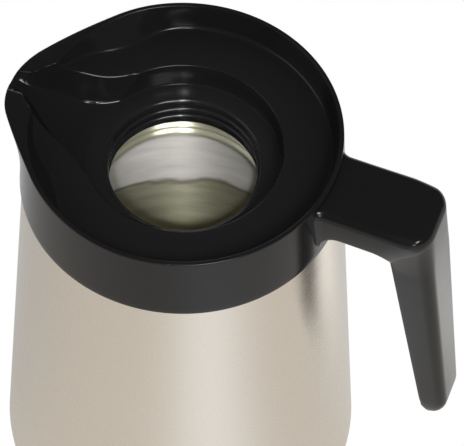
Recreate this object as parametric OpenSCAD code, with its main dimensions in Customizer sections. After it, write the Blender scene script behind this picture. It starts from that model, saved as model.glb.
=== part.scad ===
// Brushed steel vacuum carafe with a moulded pouring collar, a cantilever handle
// and a screw-in flip lid that has been taken off and set down behind it.
// The origin is the centre of the foot on the table. The handle points along +X
// and the spout along -X.

/* [Steel body] */
// Height of the collar's rim above the table
rim_z = 224; // [200:1:260]
// Radius of the steel body at its foot
base_r = 80; // [76:0.5:84]
// How far the steel body's top edge lies inside the collar's skirt
body_tuck = 1.1; // [0.5:0.1:1.6]
// Wall of the outer steel shell
shell_wall = 0.8; // [0.5:0.1:1.2]
// Wall of the inner steel flask
liner_wall = 0.7; // [0.5:0.1:1.1]
// Width of the vacuum space between the two walls
vacuum_gap = 4.4; // [3:0.2:7]
// Rounding of the steel body at its foot
foot_round = 3.2; // [2.4:0.2:5]
// Inner radius of the steel neck
neck_r = 34.3; // [34:0.1:34.8]
// Width of the flat lip that closes the neck
neck_lip = 4.1; // [3.4:0.1:5]
// Length of the steel neck above the flask's shoulder
neck_len = 23.5; // [18:0.5:34]

/* [Base] */
// Thickness of the rubber pad that the carafe stands on
pad_h = 3.8; // [2.5:0.1:6]
// How far the rubber pad's edge lies inside the body's foot
pad_inset = 6.6; // [6.4:0.2:20]
// Gap between the table and the steel body
foot_gap = 3; // [1.5:0.1:3.6]
// Radius of the getter pill on the base disc
getter_r = 9; // [5:0.5:14]
// Height of the getter pill
getter_h = 2; // [1:0.25:3.5]
// Radius of the sealed evacuation hole in the base disc
vent_r = 1.6; // [1:0.1:3]

/* [Collar] */
// Height of the collar's skirt, from the steel body to the rim
collar_h = 31; // [28:0.5:36]
// Outer radius of the collar at the rim
rim_r = 62; // [60:0.5:65]
// How far the skirt's lower edge flares out past the rim
skirt_flare = 2.5; // [2.2:0.1:4]
// Width of the rim's flat lip at the handle side
rim_lip = 1.8; // [1.2:0.1:3]
// Depth of the dished top below the rim
dish_depth = 11.8; // [9:0.2:13]
// How far the foot of the dish lies inside the rim, at the handle side
dish_foot_inset = 3.5; // [2.5:0.1:6]
// How far the dish wall swells inward on both sides of the spout
dish_swell = 5.9; // [2:0.1:8]
// Radius of the recess that takes the lid
recess_r = 39.3; // [39:0.1:41]
// Depth of the recess below the dished top
recess_depth = 12.2; // [10:0.1:13.5]
// Wall of the collar's moulding
collar_wall = 2.6; // [2:0.1:3.2]

/* [Spout] */
// How far the tip of the spout stands out past the rim
spout_out = 11.4; // [8:0.2:18]
// Radius of the spout's blunt nose, seen from above
nose_r = 27.7; // [20:0.1:29]
// Distance from the axis at which the lip starts to fall toward the spout
lip_fall_x = 34; // [20:1:45]
// Radius of the curve along which the lip falls
lip_fall_r = 124; // [100:1:200]
// Depth of the pouring channel at the very tip
tip_depth = 0.7; // [0.3:0.1:2]

/* [Mouth] */
// Radius of the threaded bore that the lid screws into
bore_r = 30.5; // [29:0.1:31.4]
// Length of the threaded bore below the recess
bore_len = 14.4; // [12:0.1:22]
// Rounding of the bore's upper edge
bore_round = 2.2; // [1:0.1:2.4]
// Wall of the threaded insert
insert_wall = 2.6; // [1.8:0.1:2.8]
// Thickness of the insert's flange
insert_flange = 1.6; // [1.2:0.1:2.2]
// Thickness of the silicone ring on the steel neck
gasket_h = 1; // [0.6:0.1:1.6]

/* [Clamp] */
// Height of the two clamp halves under the neck's lip
clamp_h = 3.8; // [2.6:0.1:4.4]
// Distance of the clamp screws from the wall of the steel neck
clamp_screw_out = 12.7; // [11.7:0.1:15]
// Number of clamp screws
clamp_screws_n = 4; // [4:2:4]
// Radius of the clamp screws and of their pilot holes
clamp_screw_d = 1.5; // [1.2:0.1:1.8]

/* [Handle] */
// Width of the handle's arm
arm_w = 31.5; // [26:0.5:34]
// Thickness of the handle's arm
arm_t = 14.9; // [12.5:0.1:16]
// How far the arm's top lies below the rim
arm_drop = 2.5; // [1.5:0.1:3.5]
// Reach of the handle's arm, from the rim to its upper outer corner
arm_reach = 42.4; // [40:0.2:53]
// Room for the fingers between the rim and the grip, under the arm
finger_gap = 28.2; // [26:0.2:32]
// Height of the whole handle
handle_h = 132.2; // [105:0.2:136]
// Outward lean of the grip's outer face, in degrees
outer_lean = 8.7; // [5:0.1:10.5]
// Outward lean of the grip's inner face, in degrees
inner_lean = 11.6; // [10.6:0.1:12]
// Width of the grip at its upper end
grip_w = 26.8; // [22:0.2:30]
// Width of the grip at its lower end
grip_end_w = 18.6; // [15:0.2:22]
// Rounding of the arm's upper edges
outer_edge = 4; // [2.5:0.1:5]
// Rounding of the grip's back
back_edge = 8; // [4:0.2:9]
// Rounding of the handle's inner edges
inner_edge = 2.4; // [1.5:0.1:3]
// Thickness of the cover on the grip's inner face
cover_t = 1.8; // [1.4:0.1:2.4]
// Wall of the hollow grip
grip_wall = 2.6; // [2:0.1:3.4]
// How far the handle screws lie inside the rim
handle_screw_in = 8; // [7:0.2:11]
// Radius of the handle screws
handle_screw_r = 1.5; // [1.2:0.1:2]

/* [Lid] */
// Where the lid stands behind the carafe, along X
lid_x = -43; // [-60:1:-30]
// Where the lid stands behind the carafe, along Y
lid_y = 121; // [121:1:150]
// Radial clearance of the lid's plug in the threaded bore
plug_play = 0.6; // [0.4:0.1:0.9]
// Length of the lid's plug below its flange
plug_len = 16; // [13:0.5:20]
// Height of the lid's flange
lid_h = 10; // [9:0.25:12]
// Radial clearance of the lid in the collar's recess
lid_play = 0.8; // [0.5:0.1:1.2]
// Radius of the pouring bore through the lid
pour_r = 13; // [10:0.5:15]
// Radius of the well that the flip cap closes
well_r = 26; // [24.5:0.25:26.5]
// Width of the pouring notch in the lid's flange
notch_w = 14; // [12:0.5:16]
// Thickness of the flip cap
cap_t = 3.6; // [3:0.1:4]
// Clearance round the flip cap
cap_play = 0.5; // [0.4:0.1:0.8]
// Radius of the hinge pin
pin_r = 1.5; // [1.2:0.1:1.8]
// Running clearance of the flip cap on the hinge pin
pin_play = 0.05; // [0.02:0.01:0.09]
// Height of the two finger lugs on the lid
lug_h = 9; // [6:0.5:12]

/* [Hidden] */
$fn = 96;

// Thickness of the collar's flange that rests on the silicone ring
collar_flange = 1.9;

// How far a cutter runs on past what it cuts
over_cut = 10;

// Radii and distances that follow from the driving sizes
skirt_r = rim_r + skirt_flare;
top_r = skirt_r - body_tuck;
pad_r = base_r - pad_inset;
dish_foot_r = rim_r - dish_foot_inset;
spout_reach = rim_r + spout_out;
clamp_screw_r = neck_r + clamp_screw_out;
elbow_x = rim_r + arm_reach;
inner_x = rim_r + finger_gap;
handle_screw_x = rim_r - handle_screw_in;

// Heights that follow from the driving sizes
skirt_z = rim_z - collar_h;
floor_z = rim_z - dish_depth;
ledge_z = floor_z - recess_depth;
insert_seat_z = ledge_z - insert_flange;
gasket_top_z = insert_seat_z - collar_flange;
neck_top_z = gasket_top_z - gasket_h;
bore_end_z = ledge_z - bore_len;
arm_top_z = rim_z - arm_drop;
handle_end_z = arm_top_z - handle_h;
clamp_top_z = neck_top_z - liner_wall;

// The steel body tucks into the skirt by this much
spigot_play = 0.25;
spigot_r = skirt_r - collar_wall + 0.15;
spigot_h = 2.4;
seat_gap = 0.2;
// The shoulder falls from the spigot into a gutter round the neck
screw_head_out = 1.4;
screw_head_h = 1.9;
gutter_z = clamp_top_z - clamp_h - screw_head_h - 1.2;
gutter_r = clamp_screw_r + 2 * clamp_screw_d;
shell_neck_r = neck_r + liner_wall + shell_wall;
shell_lip_r = pad_r + 0.6;
base_disc_z = foot_gap + shell_wall;
liner_floor_z = base_disc_z + shell_wall + getter_h + 2.4;

function unit(v) = v / norm(v);
function reverse(list) = [for (i = [len(list) - 1 : -1 : 0]) list[i]];

// Points of an arc that rounds the corner b of the path a, b, c
function corner(a, b, c, r, n = 6) =
    let (u = unit(a - b), v = unit(c - b),
         half = acos(max(-1, min(1, u * v))) / 2,
         mid = b + unit(u + v) * r / sin(half),
         p = b + u * r / tan(half) - mid,
         q = b + v * r / tan(half) - mid,
         a0 = atan2(p[1], p[0]),
         turn = atan2(p[0] * q[1] - p[1] * q[0], p * q))
    [for (i = [0 : n]) mid + r * [cos(a0 + turn * i / n), sin(a0 + turn * i / n)]];

// A path of [x, z, rounding] rows with its corners rounded
function rounded(path) =
    [for (i = [0 : len(path) - 1])
        let (p = [path[i][0], path[i][1]])
        each path[i][2] == 0 ? [p]
            : corner([path[i - 1][0], path[i - 1][1]], p, [path[i + 1][0], path[i + 1][1]], path[i][2])];

// The path moved to its left by a distance, for the other face of a sheet
function beside(path, d) =
    [for (i = [0 : len(path) - 1])
        let (u = i == 0 ? unit(path[1] - path[0]) : unit(path[i] - path[i - 1]),
             v = i == len(path) - 1 ? u : unit(path[i + 1] - path[i]),
             n = unit([-u[1] - v[1], u[0] + v[0]]),
             k = n * [-u[1], u[0]])
        path[i] + n * d / k];

// A sheet of even thickness, revolved about the axis
module spun_sheet(path, thickness) {
    rotate_extrude()
        polygon(concat(path, reverse(beside(path, thickness))));
}

module ring(r_in, r_out, z0, z1) {
    rotate_extrude()
        polygon([[r_in, z0], [r_out, z0], [r_out, z1], [r_in, z1]]);
}

// Steel body

// Radius of the outer shell's cone at a height
function body_r(z) = base_r + (top_r - base_r) * (z - foot_gap) / (skirt_z - seat_gap - foot_gap);
function flask_r(z) = body_r(z) - shell_wall - vacuum_gap - liner_wall;

flask_top_z = neck_top_z - neck_len - 7;

module outer_shell() {
    path = rounded([
        [shell_lip_r, foot_gap, 0],
        [base_r, foot_gap, foot_round],
        [top_r, skirt_z - seat_gap, 0],
        [spigot_r, skirt_z - seat_gap, 0],
        [spigot_r, skirt_z - seat_gap + spigot_h, 1],
        [gutter_r, gutter_z, 2.5],
        [shell_neck_r, gutter_z, 1.5],
        [shell_neck_r, clamp_top_z, 0]]);
    color("#c9c2bb") spun_sheet(path, shell_wall);
}

module inner_liner() {
    path = rounded([
        [0, liner_floor_z, 0],
        [flask_r(liner_floor_z), liner_floor_z, 9],
        [flask_r(flask_top_z), flask_top_z, 8],
        [neck_r, neck_top_z - neck_len, 4],
        [neck_r, neck_top_z, 0],
        [neck_r + neck_lip, neck_top_z, 0]]);
    color("#d6d2c8") spun_sheet(path, -liner_wall);
}

module shell_base() {
    flange_h = 4;
    flange_inset = 3.4;
    rim = body_r(base_disc_z) - flange_inset;
    color("#b8b4ae") difference() {
        union() {
            ring(0, rim, base_disc_z, base_disc_z + shell_wall);
            ring(rim - shell_wall, rim, base_disc_z, base_disc_z + flange_h);
        }
        translate([0, 0, base_disc_z - 1])
            cylinder(r = vent_r, h = shell_wall + 2);
    }
}

module vacuum_plug() {
    color("#8d9093") union() {
        ring(0, vent_r, base_disc_z - 0.1, base_disc_z + shell_wall);
        ring(0, vent_r + 2, base_disc_z - 0.8, base_disc_z);
    }
}

module getter() {
    color("#77736c") translate([base_r / 3, 0, base_disc_z + shell_wall])
        cylinder(r = getter_r, h = getter_h);
}

module base_pad() {
    color("#26272a") difference() {
        rotate_extrude()
            polygon([[0, 0], [pad_r - 1.2, 0], [pad_r, 1.2], [pad_r, pad_h], [0, pad_h]]);
        translate([0, 0, base_disc_z - 1.1])
            cylinder(r = vent_r + 2.6, h = pad_h);
    }
}

// Collar

// Height of the falling lip over a place along X
function lip_z(x) =
    x > -lip_fall_x ? rim_z : rim_z - lip_fall_r + sqrt(pow(lip_fall_r, 2) - pow(x + lip_fall_x, 2));

// Outer form of the collar: a flared skirt that swells into the spout
module collar_blank(grow = 0) {
    nose_draft = 9;
    nose_foot_r = nose_r - nose_draft;
    hull() {
        translate([0, 0, skirt_z])
            cylinder(h = collar_h, r1 = skirt_r + grow, r2 = rim_r + grow);
        translate([nose_r - spout_reach, 0, skirt_z])
            cylinder(h = collar_h, r1 = nose_foot_r + grow, r2 = nose_r + grow);
    }
}

// Everything that lies under the lip, as a sweep across the collar
module under_lip() {
    span = 2 * (skirt_r + over_cut);
    translate([0, span / 2, 0]) rotate([90, 0, 0]) linear_extrude(span) {
        translate([-lip_fall_x, skirt_z - over_cut])
            square([lip_fall_x + skirt_r + over_cut, collar_h + over_cut]);
        intersection() {
            translate([-lip_fall_x, rim_z - lip_fall_r])
                circle(r = lip_fall_r);
            translate([-spout_reach - over_cut, skirt_z - over_cut])
                square([spout_reach + over_cut - lip_fall_x + 0.01, collar_h + 2 * over_cut]);
        }
    }
}

// Joins rings of points, each with the same count, into one closed skin
module loft(rings) {
    n = len(rings[0]);
    m = len(rings);
    polyhedron(
        points = [for (r = rings) each r],
        faces = concat(
            [[for (i = [0 : n - 1]) i]],
            [for (k = [0 : m - 2]) for (i = [0 : n - 1]) let (j = (i + 1) % n)
                each [[k * n + j, k * n + i, (k + 1) * n + i],
                      [k * n + j, (k + 1) * n + i, (k + 1) * n + j]]],
            [[for (i = [n - 1 : -1 : 0]) (m - 1) * n + i]]));
}

// The dish is described by its angle from the spout
dish_top_r = rim_r - rim_lip;
swell_at = 42;
swell_width = 14;
bank_from = 8.5;
bank_fade = 11;
function foot_r(t) = dish_foot_r - dish_swell * exp(-pow((t - swell_at) / swell_width, 2));
function bank(t) = t < bank_from ? 1 : exp(-(t - bank_from) / bank_fade);
function foot_z(t) = floor_z + (lip_z(-foot_r(t) * cos(t)) - 0.3 - floor_z) * bank(t);

module dish() {
    angles = [for (a = [0 : 5 : 355]) a];
    function off_spout(a) = abs(180 - a);
    function dish_ring(kind) = [for (a = angles)
        let (t = off_spout(a),
             r = kind == 0 ? recess_r - 1 : kind == 1 ? foot_r(t) : dish_top_r + 0.15,
             z = kind == 0 ? floor_z : kind == 1 ? foot_z(t)
                 : kind == 2 ? lip_z(-dish_top_r * cos(t)) + 0.6 : rim_z + 8)
        [r * cos(a), r * sin(a), z]];
    loft([dish_ring(0), dish_ring(1), dish_ring(2), dish_ring(3)]);
}

// The pouring channel is described by its share of the way from bore to tip
channel_share = [-0.12, 0, 0.07, 0.15, 0.23, 0.38, 0.52, 0.65, 0.715, 0.79, 0.88, 0.97, 1.1];
channel_half = [[-0.12, 0.62], [0, 0.64], [0.07, 0.58], [0.15, 0.52], [0.23, 0.473], [0.38, 0.412],
                [0.52, 0.356], [0.65, 0.285], [0.715, 0.224], [0.79, 0.137], [0.97, 0.104], [1.1, 0.1]];
channel_bed = [[-0.12, 0.6], [0, 0.545], [0.07, 0.485], [0.15, 0.42], [0.23, 0.362], [0.38, 0.298],
               [0.52, 0.225], [0.65, 0.15], [0.715, 0.106], [0.79, 0.068], [0.97, 0.034], [1.1, 0.03]];
channel_rise = [[0.07, 0], [0.15, 0.004], [0.23, 0.02], [0.38, 0.075], [0.52, 0.3], [0.65, 0.54],
                [0.715, 0.665], [0.79, 0.79], [0.88, 0.9], [0.97, 0.985], [1.1, 1.06]];
tip_z = lip_z(-spout_reach) - tip_depth;

module channel(grow = 0) {
    function at_x(s) = -bore_r - s * (spout_reach - bore_r);
    function edge_z(x, half) =
        let (t = atan2(half, -x), r = norm([x, half]), f = (r - recess_r) / (foot_r(t) - recess_r))
        min(lip_z(x), floor_z + max(0, f) * (foot_z(t) - floor_z));
    function section(s) =
        let (x = at_x(s),
             half = recess_r * lookup(s, channel_half) + grow,
             bed = recess_r * lookup(s, channel_bed) + grow * 0.6,
             z0 = ledge_z + (tip_z - ledge_z) * lookup(s, channel_rise) - grow,
             z1 = max(z0 + 0.4, edge_z(x, half)),
             top = rim_z + 8,
             sag = min(0.6, bed * 0.06))
        [[x, half, top], [x, half, z1], [x, (half + bed) / 2, (z1 + 2 * z0) / 3 + 0.1],
         [x, bed, z0 + sag], [x, bed / 2, z0 + sag / 3], [x, -bed / 2, z0 + sag / 3],
         [x, -bed, z0 + sag], [x, -(half + bed) / 2, (z1 + 2 * z0) / 3 + 0.1],
         [x, -half, z1], [x, -half, top]];
    loft([for (s = channel_share) section(s)]);
}

// Hollow underside of the collar
module collar_cavity() {
    roof_z = floor_z - collar_wall;
    tube_r = recess_r + collar_wall;
    inside_r = spigot_r + spigot_play;
    difference() {
        rotate_extrude()
            polygon([[0, skirt_z - 1], [inside_r, skirt_z - 1], [inside_r, skirt_z + spigot_h + 0.8],
                     [rim_r - collar_wall, roof_z - collar_wall], [rim_r - 2 * collar_wall, roof_z],
                     [tube_r, roof_z],
                     [tube_r, gasket_top_z], [0, gasket_top_z]]);
        channel(collar_wall);
        at_clamp_screws() clamp_boss();
        handle_boss();
    }
}

module at_clamp_screws() {
    spread = 50;
    for (i = [0 : clamp_screws_n - 1])
        rotate(90 * floor((i + 1) / 2) * 2 + (i % 2 == 0 ? spread : -spread))
            translate([clamp_screw_r, 0, 0])
                children();
}

module clamp_boss() {
    translate([0, 0, clamp_top_z + seat_gap])
        cylinder(r = clamp_screw_d + 2.4, h = floor_z - clamp_top_z - seat_gap);
}

// Two screws run up through the handle's tongue into this boss under the dish
tongue_z = skirt_z + 10.8;
tongue_t = 4;
tongue_w = 24;
tongue_play = 0.2;
tongue_end = 4.5;
screw_y = 7;

module handle_boss() {
    translate([handle_screw_x - tongue_end, -tongue_w / 2, tongue_z + tongue_t + tongue_play])
        cube([2 * tongue_end, tongue_w, floor_z - tongue_z - tongue_t - tongue_play]);
}

module at_handle_screws() {
    for (side = [-1, 1])
        translate([handle_screw_x, side * screw_y, 0])
            children();
}

module collar() {
    color("#1b1b1d") difference() {
        intersection() {
            collar_blank();
            under_lip();
        }
        dish();
        channel();
        collar_cavity();
        translate([0, 0, insert_seat_z])
            cylinder(r = recess_r, h = dish_depth + recess_depth + over_cut);
        translate([0, 0, gasket_top_z - 1])
            cylinder(r = neck_r + 1.7, h = collar_flange + 2);
        at_clamp_screws() translate([0, 0, clamp_top_z])
            cylinder(r = clamp_screw_d, h = floor_z - clamp_top_z - 3);
        at_handle_screws() translate([0, 0, tongue_z])
            cylinder(r = handle_screw_r, h = floor_z - tongue_z - 1.4);
        translate([handle_screw_x, -tongue_w / 2 - tongue_play, tongue_z - tongue_play])
            cube([skirt_r + over_cut - handle_screw_x, tongue_w + 2 * tongue_play,
                  tongue_t + 2 * tongue_play]);
    }
}

module neck_insert() {
    color("#1f1f21") rotate_extrude()
        polygon(concat(
            [[bore_r, bore_end_z + 0.8], [bore_r + 0.8, bore_end_z], [bore_r + insert_wall, bore_end_z],
             [bore_r + insert_wall, insert_seat_z], [recess_r - 0.2, insert_seat_z],
             [recess_r - 0.2, ledge_z]],
            corner([recess_r - 0.2, ledge_z], [bore_r, ledge_z], [bore_r, bore_end_z], bore_round)));
}

module neck_gasket() {
    color("#d9d5cc") ring(neck_r + 0.3, neck_r + neck_lip - 0.3, neck_top_z, gasket_top_z);
}

module clamp_halves() {
    inner = shell_neck_r + 0.5;
    outer = neck_r + neck_lip + 3.4;
    split = 1;
    boss = clamp_screw_d + 2.6;
    z0 = clamp_top_z - clamp_h;
    color("#8a8c8e") difference() {
        union() {
            ring(inner, outer, z0, clamp_top_z);
            intersection() {
                at_clamp_screws() {
                    translate([0, 0, z0])
                        cylinder(r = boss, h = clamp_h);
                    translate([outer - clamp_screw_r - 3, -boss, z0])
                        cube([clamp_screw_r - outer + 3, 2 * boss, clamp_h]);
                }
                ring(inner, gutter_r + 2, z0, clamp_top_z);
            }
        }
        translate([-gutter_r - over_cut, -split / 2, z0 - 1])
            cube([2 * (gutter_r + over_cut), split, clamp_h + 2]);
        at_clamp_screws() translate([0, 0, z0 - 1])
            cylinder(r = clamp_screw_d + 0.1, h = clamp_h + 2);
    }
}

// A pan-head screw that points up, its head under the height z
module screw(r, z, len) {
    translate([0, 0, z])
        cylinder(r = r, h = len);
    translate([0, 0, z - screw_head_h])
        cylinder(r = r + screw_head_out, h = screw_head_h);
}

module clamp_screws() {
    hold = 7;
    color("#9fa2a5") at_clamp_screws()
        screw(clamp_screw_d, clamp_top_z - clamp_h, clamp_h + hold);
}

module handle_screws() {
    color("#9fa2a5") at_handle_screws()
        screw(handle_screw_r, tongue_z, floor_z - tongue_z - 2);
}

// Handle

// One cross-section of the handle, from its inner point to its outer point, w wide
function handle_section(inner, outer, w, e_in, e_out) =
    let (d = norm(outer - inner), u = (outer - inner) / d,
         r0 = min(e_in, d / 3, w / 3), r1 = min(e_out, d / 3, w / 3),
         quarter = [for (i = [0 : 4]) i * 22.5],
         flat = concat(
            [for (a = quarter) [r0 - r0 * cos(a), r0 - w / 2 - r0 * sin(a)]],
            [for (a = quarter) [d - r1 + r1 * sin(a), r1 - w / 2 - r1 * cos(a)]],
            [for (a = quarter) [d - r1 + r1 * cos(a), w / 2 - r1 + r1 * sin(a)]],
            [for (a = quarter) [r0 - r0 * sin(a), w / 2 - r0 + r0 * cos(a)]]))
    [for (p = reverse(flat)) [inner[0] + u[0] * p[0], p[1], inner[1] + u[1] * p[0]]];

inner_fillet = 7.6;
elbow_round = 5;
// How far before the elbow the sections start to turn, and how late the arm narrows in it
elbow_lead = 10;
narrowing = 2.2;
root_fillet = 8;
// Seen from above, an arc on each side leads from the skirt into the arm
flare_r = 5;
flare_mid = [sqrt(pow(rim_r + flare_r, 2) - pow(arm_w / 2 + flare_r, 2)), arm_w / 2 + flare_r];
flare_from = flare_mid * rim_r / (rim_r + flare_r);
function root_half(x) =
    x >= flare_mid[0] ? arm_w / 2
        : flare_mid[1] - sqrt(pow(flare_r, 2) - pow(min(flare_r, flare_mid[0] - max(x, flare_from[0])), 2));
arm_under_z = arm_top_z - arm_t;
fillet_mid = [inner_x - inner_fillet, arm_under_z - inner_fillet];
inner_from = fillet_mid + inner_fillet * [cos(inner_lean), sin(inner_lean)];
function grip_in(z) = [inner_from[0] + (inner_from[1] - z) * tan(inner_lean), z];
function grip_out(z) = [elbow_x + (arm_top_z - z) * tan(outer_lean), z];
function fillet_at(a) = fillet_mid + inner_fillet * [sin(a), cos(a)];
elbow_mid = grip_out(arm_top_z - elbow_round) - [elbow_round, 0];
function elbow_at(a) = elbow_mid + elbow_round * [sin(a), cos(a)];
// Falls from 1 to 0 along a quarter circle that starts at x0 and is r long
function sweep(x, x0, r) = let (k = 1 - max(0, min(1, (x - x0) / r))) 1 - sqrt(1 - k * k);
function width_at(z) =
    grip_w + (grip_end_w - grip_w) * (arm_under_z - z) / (arm_under_z - handle_end_z);

module handle_form() {
    root = [for (x = [handle_screw_x - tongue_end, flare_from[0], rim_r - 2, rim_r - 0.6, rim_r + 0.4,
                      rim_r + 1.2, rim_r + 2.8, rim_r + 4.6, rim_r + 7, rim_r + 10])
        handle_section([x, arm_under_z - root_fillet * sweep(x, rim_r + 1.2, 7.5)], [x, arm_top_z],
                       2 * root_half(x), inner_edge, outer_edge)];
    elbow = [for (s = [0 : 0.1 : 1])
        let (w = arm_w + (width_at(inner_from[1]) - arm_w) * pow(s, narrowing))
        handle_section(fillet_at(s * (90 - inner_lean)),
                       s < 0.45 ? [elbow_mid[0] - (1 - s / 0.45) * elbow_lead, arm_top_z]
                           : elbow_at((s - 0.45) / 0.55 * (90 - outer_lean)),
                       w, inner_edge, outer_edge + (back_edge - outer_edge) * s)];
    top_z = arm_under_z - inner_fillet - 4;
    low_z = handle_end_z + 13;
    grip = [for (s = [0 : 0.25 : 1])
        let (z = top_z + (low_z - top_z) * s)
        handle_section(grip_in(z), grip_out(z + 1), width_at(z), inner_edge, back_edge)];
    end_in = grip_in(handle_end_z + 3);
    end = [for (a = [18 : 18 : 72])
        let (k = 1 - cos(a), z = low_z - 12 * sin(a))
        handle_section(grip_in(max(z, end_in[1])) + [6 * k * k, min(0, z - end_in[1])],
                       grip_out(z + 1) - [8.5 * k, -1.5 * k],
                       width_at(z) - 4 * k, inner_edge, back_edge - 3 * k)];
    loft(concat(root, elbow, grip, end));
}

// The slab along the grip's inner face that the cover takes
module cover_slab(extra = 0) {
    z0 = handle_end_z + 6;
    z1 = inner_from[1];
    span = arm_w + 4;
    translate([0, span / 2, 0]) rotate([90, 0, 0]) linear_extrude(span)
        polygon([grip_in(z0) - [4, 0], grip_in(z0) + [cover_t + extra, 0],
                 grip_in(z1) + [cover_t + extra, 0], grip_in(z1) - [4, 0]]);
}

module handle_shell() {
    z0 = handle_end_z + 12;
    z1 = inner_from[1] - 5;
    hollow_w = grip_end_w - 2 * grip_wall - 1;
    fit = 0.1;
    color("#1d1d1f") difference() {
        union() {
            difference() {
                handle_form();
                translate([0, 0, skirt_z])
                    cylinder(h = collar_h, r1 = skirt_r + fit, r2 = rim_r + fit);
            }
            translate([handle_screw_x - tongue_end, -tongue_w / 2, tongue_z])
                cube([rim_r + 2 * tongue_end - handle_screw_x, tongue_w, tongue_t]);
        }
        cover_slab();
        translate([0, hollow_w / 2, 0]) rotate([90, 0, 0]) linear_extrude(hollow_w)
            polygon([grip_in(z0) + [1, 0], grip_out(z0) - [grip_wall, 0],
                     grip_out(z1) - [grip_wall, 0], grip_in(z1) + [1, 0]]);
        at_handle_screws() translate([0, 0, tongue_z - 1])
            cylinder(r = handle_screw_r + fit, h = tongue_t + 2);
    }
}

module handle_cover() {
    color("#141415") intersection() {
        handle_form();
        cover_slab();
    }
}

// Lid, standing on its plug behind the carafe

lid_r = recess_r - lid_play;
plug_r = bore_r - plug_play;
lid_z = plug_len;
lid_top_z = lid_z + lid_h;
well_z = lid_z + lid_h - cap_t - 2.4;
plug_wall = 2.2;
seal_r = 1.3;
seal_z = 3.4;
hinge_x = well_r + 3.6;
hinge_z = lid_top_z + 0.6;
knuckle_r = pin_r + 1.7;
knuckle_root = well_r - 6;
knuckle_w = 15;
ear_w = 6;

module at_lid() {
    translate([lid_x, lid_y, 0])
        children();
}

// A cylinder along Y, centred on the lid's middle plane
module across(r, w) {
    translate([0, w / 2, 0]) rotate([90, 0, 0])
        cylinder(r = r, h = w);
}

module lid_top() {
    lug_in = lid_r - 8;
    lug_out = lid_r - 1.5;
    ear_span = knuckle_w + 2 * cap_play + 2 * ear_w;
    color("#1b1b1d") at_lid() difference() {
        union() {
            rotate_extrude()
                polygon(concat([[0, lid_z], [lid_r, lid_z]],
                               corner([lid_r, lid_z], [lid_r, lid_top_z], [0, lid_top_z], 1.5),
                               [[0, lid_top_z]]));
            for (side = [0, 180])
                rotate(side + 68) rotate_extrude(angle = 44)
                    polygon([[lug_in, lid_top_z - 1], [lug_out, lid_top_z - 1],
                             [lug_out - 1.2, lid_top_z + lug_h], [lug_in + 1.2, lid_top_z + lug_h]]);
            translate([hinge_x, 0, hinge_z]) across(knuckle_r, ear_span);
            translate([hinge_x - knuckle_r, -ear_span / 2, lid_top_z - 1])
                cube([2 * knuckle_r, ear_span, 1 + hinge_z - lid_top_z]);
        }
        translate([0, 0, well_z])
            cylinder(r = well_r, h = lid_h + lug_h);
        translate([0, 0, lid_z - 1])
            cylinder(r = pour_r, h = lid_h);
        translate([-lid_r - 5, -notch_w / 2, well_z])
            cube([lid_r + 5, notch_w, lid_h + lug_h]);
        // Room for the cap's knuckle between the ears
        translate([hinge_x, 0, hinge_z]) across(knuckle_r + cap_play, knuckle_w + 2 * cap_play);
        translate([knuckle_root, -knuckle_w / 2 - cap_play, hinge_z - knuckle_r - cap_play])
            cube([hinge_x - knuckle_root, knuckle_w + 2 * cap_play, lid_h + lug_h]);
        translate([hinge_x, 0, hinge_z]) across(pin_r, ear_span + 2);
    }
}

module lid_plug() {
    color("#1f1f21") at_lid() difference() {
        rotate_extrude()
            polygon([[pour_r, 0], [plug_r - 1, 0], [plug_r, 1], [plug_r, lid_z],
                     [plug_r - plug_wall, lid_z], [plug_r - plug_wall, plug_wall],
                     [pour_r + plug_wall, plug_wall], [pour_r + plug_wall, lid_z], [pour_r, lid_z]]);
        rotate_extrude() translate([plug_r - seal_r + 0.5, seal_z])
            circle(r = seal_r, $fn = 32);
    }
}

module plug_seal() {
    color("#cfcac0") at_lid() rotate_extrude()
        translate([plug_r - seal_r + 0.5, seal_z])
            circle(r = seal_r, $fn = 32);
}

module flip_cap() {
    cap_z = lid_top_z - cap_t;
    tongue_len = lid_r + 1.5;
    tongue_half = notch_w / 2 - cap_play;
    color("#1d1d1f") at_lid() difference() {
        union() {
            rotate_extrude()
                polygon(concat([[0, cap_z], [well_r - cap_play, cap_z]],
                               corner([well_r - cap_play, cap_z], [well_r - cap_play, lid_top_z],
                                      [0, lid_top_z + 1.2], 1),
                               [[0, lid_top_z + 1.2]]));
            translate([-tongue_len, -tongue_half, cap_z])
                cube([tongue_len, 2 * tongue_half, cap_t]);
            translate([-tongue_len, 0, lid_top_z - 0.3]) across(1.5, 2 * tongue_half);
            translate([hinge_x, 0, hinge_z]) across(knuckle_r, knuckle_w);
            translate([knuckle_root, -knuckle_w / 2, hinge_z - 2.4])
                cube([hinge_x - knuckle_root, knuckle_w, 3]);
        }
        translate([hinge_x, 0, hinge_z]) across(pin_r + pin_play, knuckle_w + 2);
    }
}

module cap_seal() {
    cap_z = lid_top_z - cap_t;
    dip = 1.7;
    lead = 0.8;
    face = 2.6;
    seal_gap = 0.3;
    plug_in_r = pour_r - cap_play;
    color("#cfcac0") at_lid() rotate_extrude()
        polygon([[0, well_z - dip], [plug_in_r - lead, well_z - dip], [plug_in_r, well_z - dip + lead],
                 [plug_in_r, well_z + seal_gap], [pour_r + face, well_z + seal_gap],
                 [pour_r + face, cap_z], [0, cap_z]]);
}

module hinge_pin() {
    color("#b4b7ba") at_lid() translate([hinge_x, 0, hinge_z])
        across(pin_r, knuckle_w + 2 * cap_play + 2 * ear_w);
}

outer_shell();
inner_liner();
shell_base();
vacuum_plug();
getter();
base_pad();
collar();
neck_insert();
neck_gasket();
clamp_halves();
clamp_screws();
handle_shell();
handle_cover();
handle_screws();
lid_top();
lid_plug();
plug_seal();
flip_cap();
cap_seal();
hinge_pin();
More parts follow.
